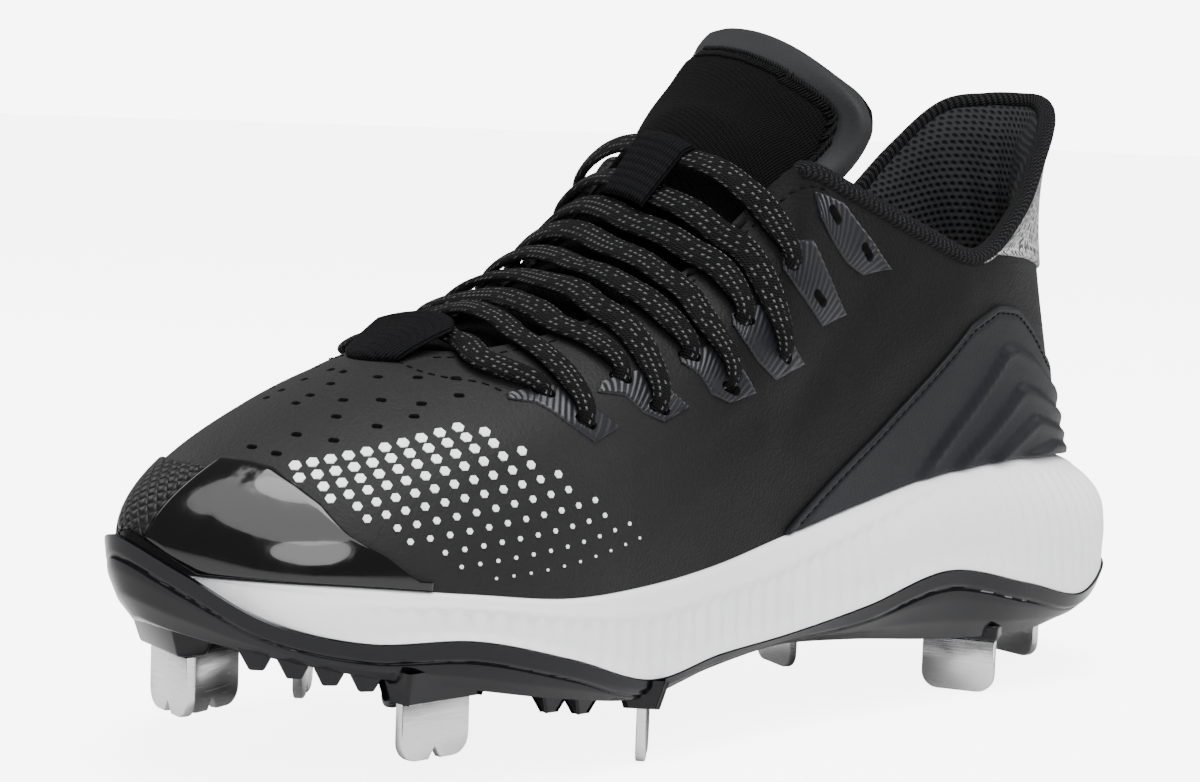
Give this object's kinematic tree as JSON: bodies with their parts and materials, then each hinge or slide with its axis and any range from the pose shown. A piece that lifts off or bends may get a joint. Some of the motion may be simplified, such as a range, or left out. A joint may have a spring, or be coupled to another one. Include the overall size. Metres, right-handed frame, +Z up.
{
  "type": "baseball cleat",
  "caption": "Low-cut left baseball cleat with a hollow laced upper, a padded tongue, a contoured foam midsole and steel studs under a moulded plate.",
  "frame": {"origin": "middle of the footprint, on the plane that the heel and forefoot studs stand on", "axes": "+X from the heel to the toe, +Y to the little-toe side, +Z up"},
  "size_m": [0.296, 0.1, 0.1633],
  "materials": {
    "black_trim": "matte black webbing",
    "grey_lining": "dark grey mesh",
    "slate_synthetic": "matte slate-grey moulded synthetic",
    "melange_knit": "black and white melange knit",
    "braided_lace": "flat braided lace with light flecks",
    "white_foam": "matte moulded white foam",
    "stud_steel": "pressed steel, satin",
    "black_gloss_plate": "glossy moulded nylon",
    "patent_black": "glossy patent",
    "textured_black": "matte moulded scale texture",
    "black_textile": "ribbed black textile",
    "black_synthetic": "fine-grained matte black synthetic leather"
  },
  "bodies": {
    "root": {"collar_binding": "black_trim", "collar_padding": "grey_lining", "heel_counter": "slate_synthetic", "heel_knit_panel": "melange_knit", "heel_strip": "black_trim", "insole": "grey_lining", "lace_1": "braided_lace", "lace_2": "braided_lace", "lace_3": "braided_lace", "lace_4": "braided_lace", "lace_5": "braided_lace", "lace_6": "braided_lace", "lace_7": "braided_lace", "lace_8": "braided_lace", "lace_9": "braided_lace", "midsole": "white_foam", "stud_front_inner": "stud_steel", "stud_front_outer": "stud_steel", "stud_heel_inner": "stud_steel", "stud_heel_outer": "stud_steel", "stud_heel_rear": "stud_steel", "stud_plate": "black_gloss_plate", "stud_rear_inner": "stud_steel", "stud_rear_outer": "stud_steel", "stud_side_inner": "stud_steel", "stud_toe": "stud_steel", "toe_guard": "patent_black", "toe_tip": "textured_black", "tongue": "black_textile", "upper": "black_synthetic"}
  },
  "joints": []
}
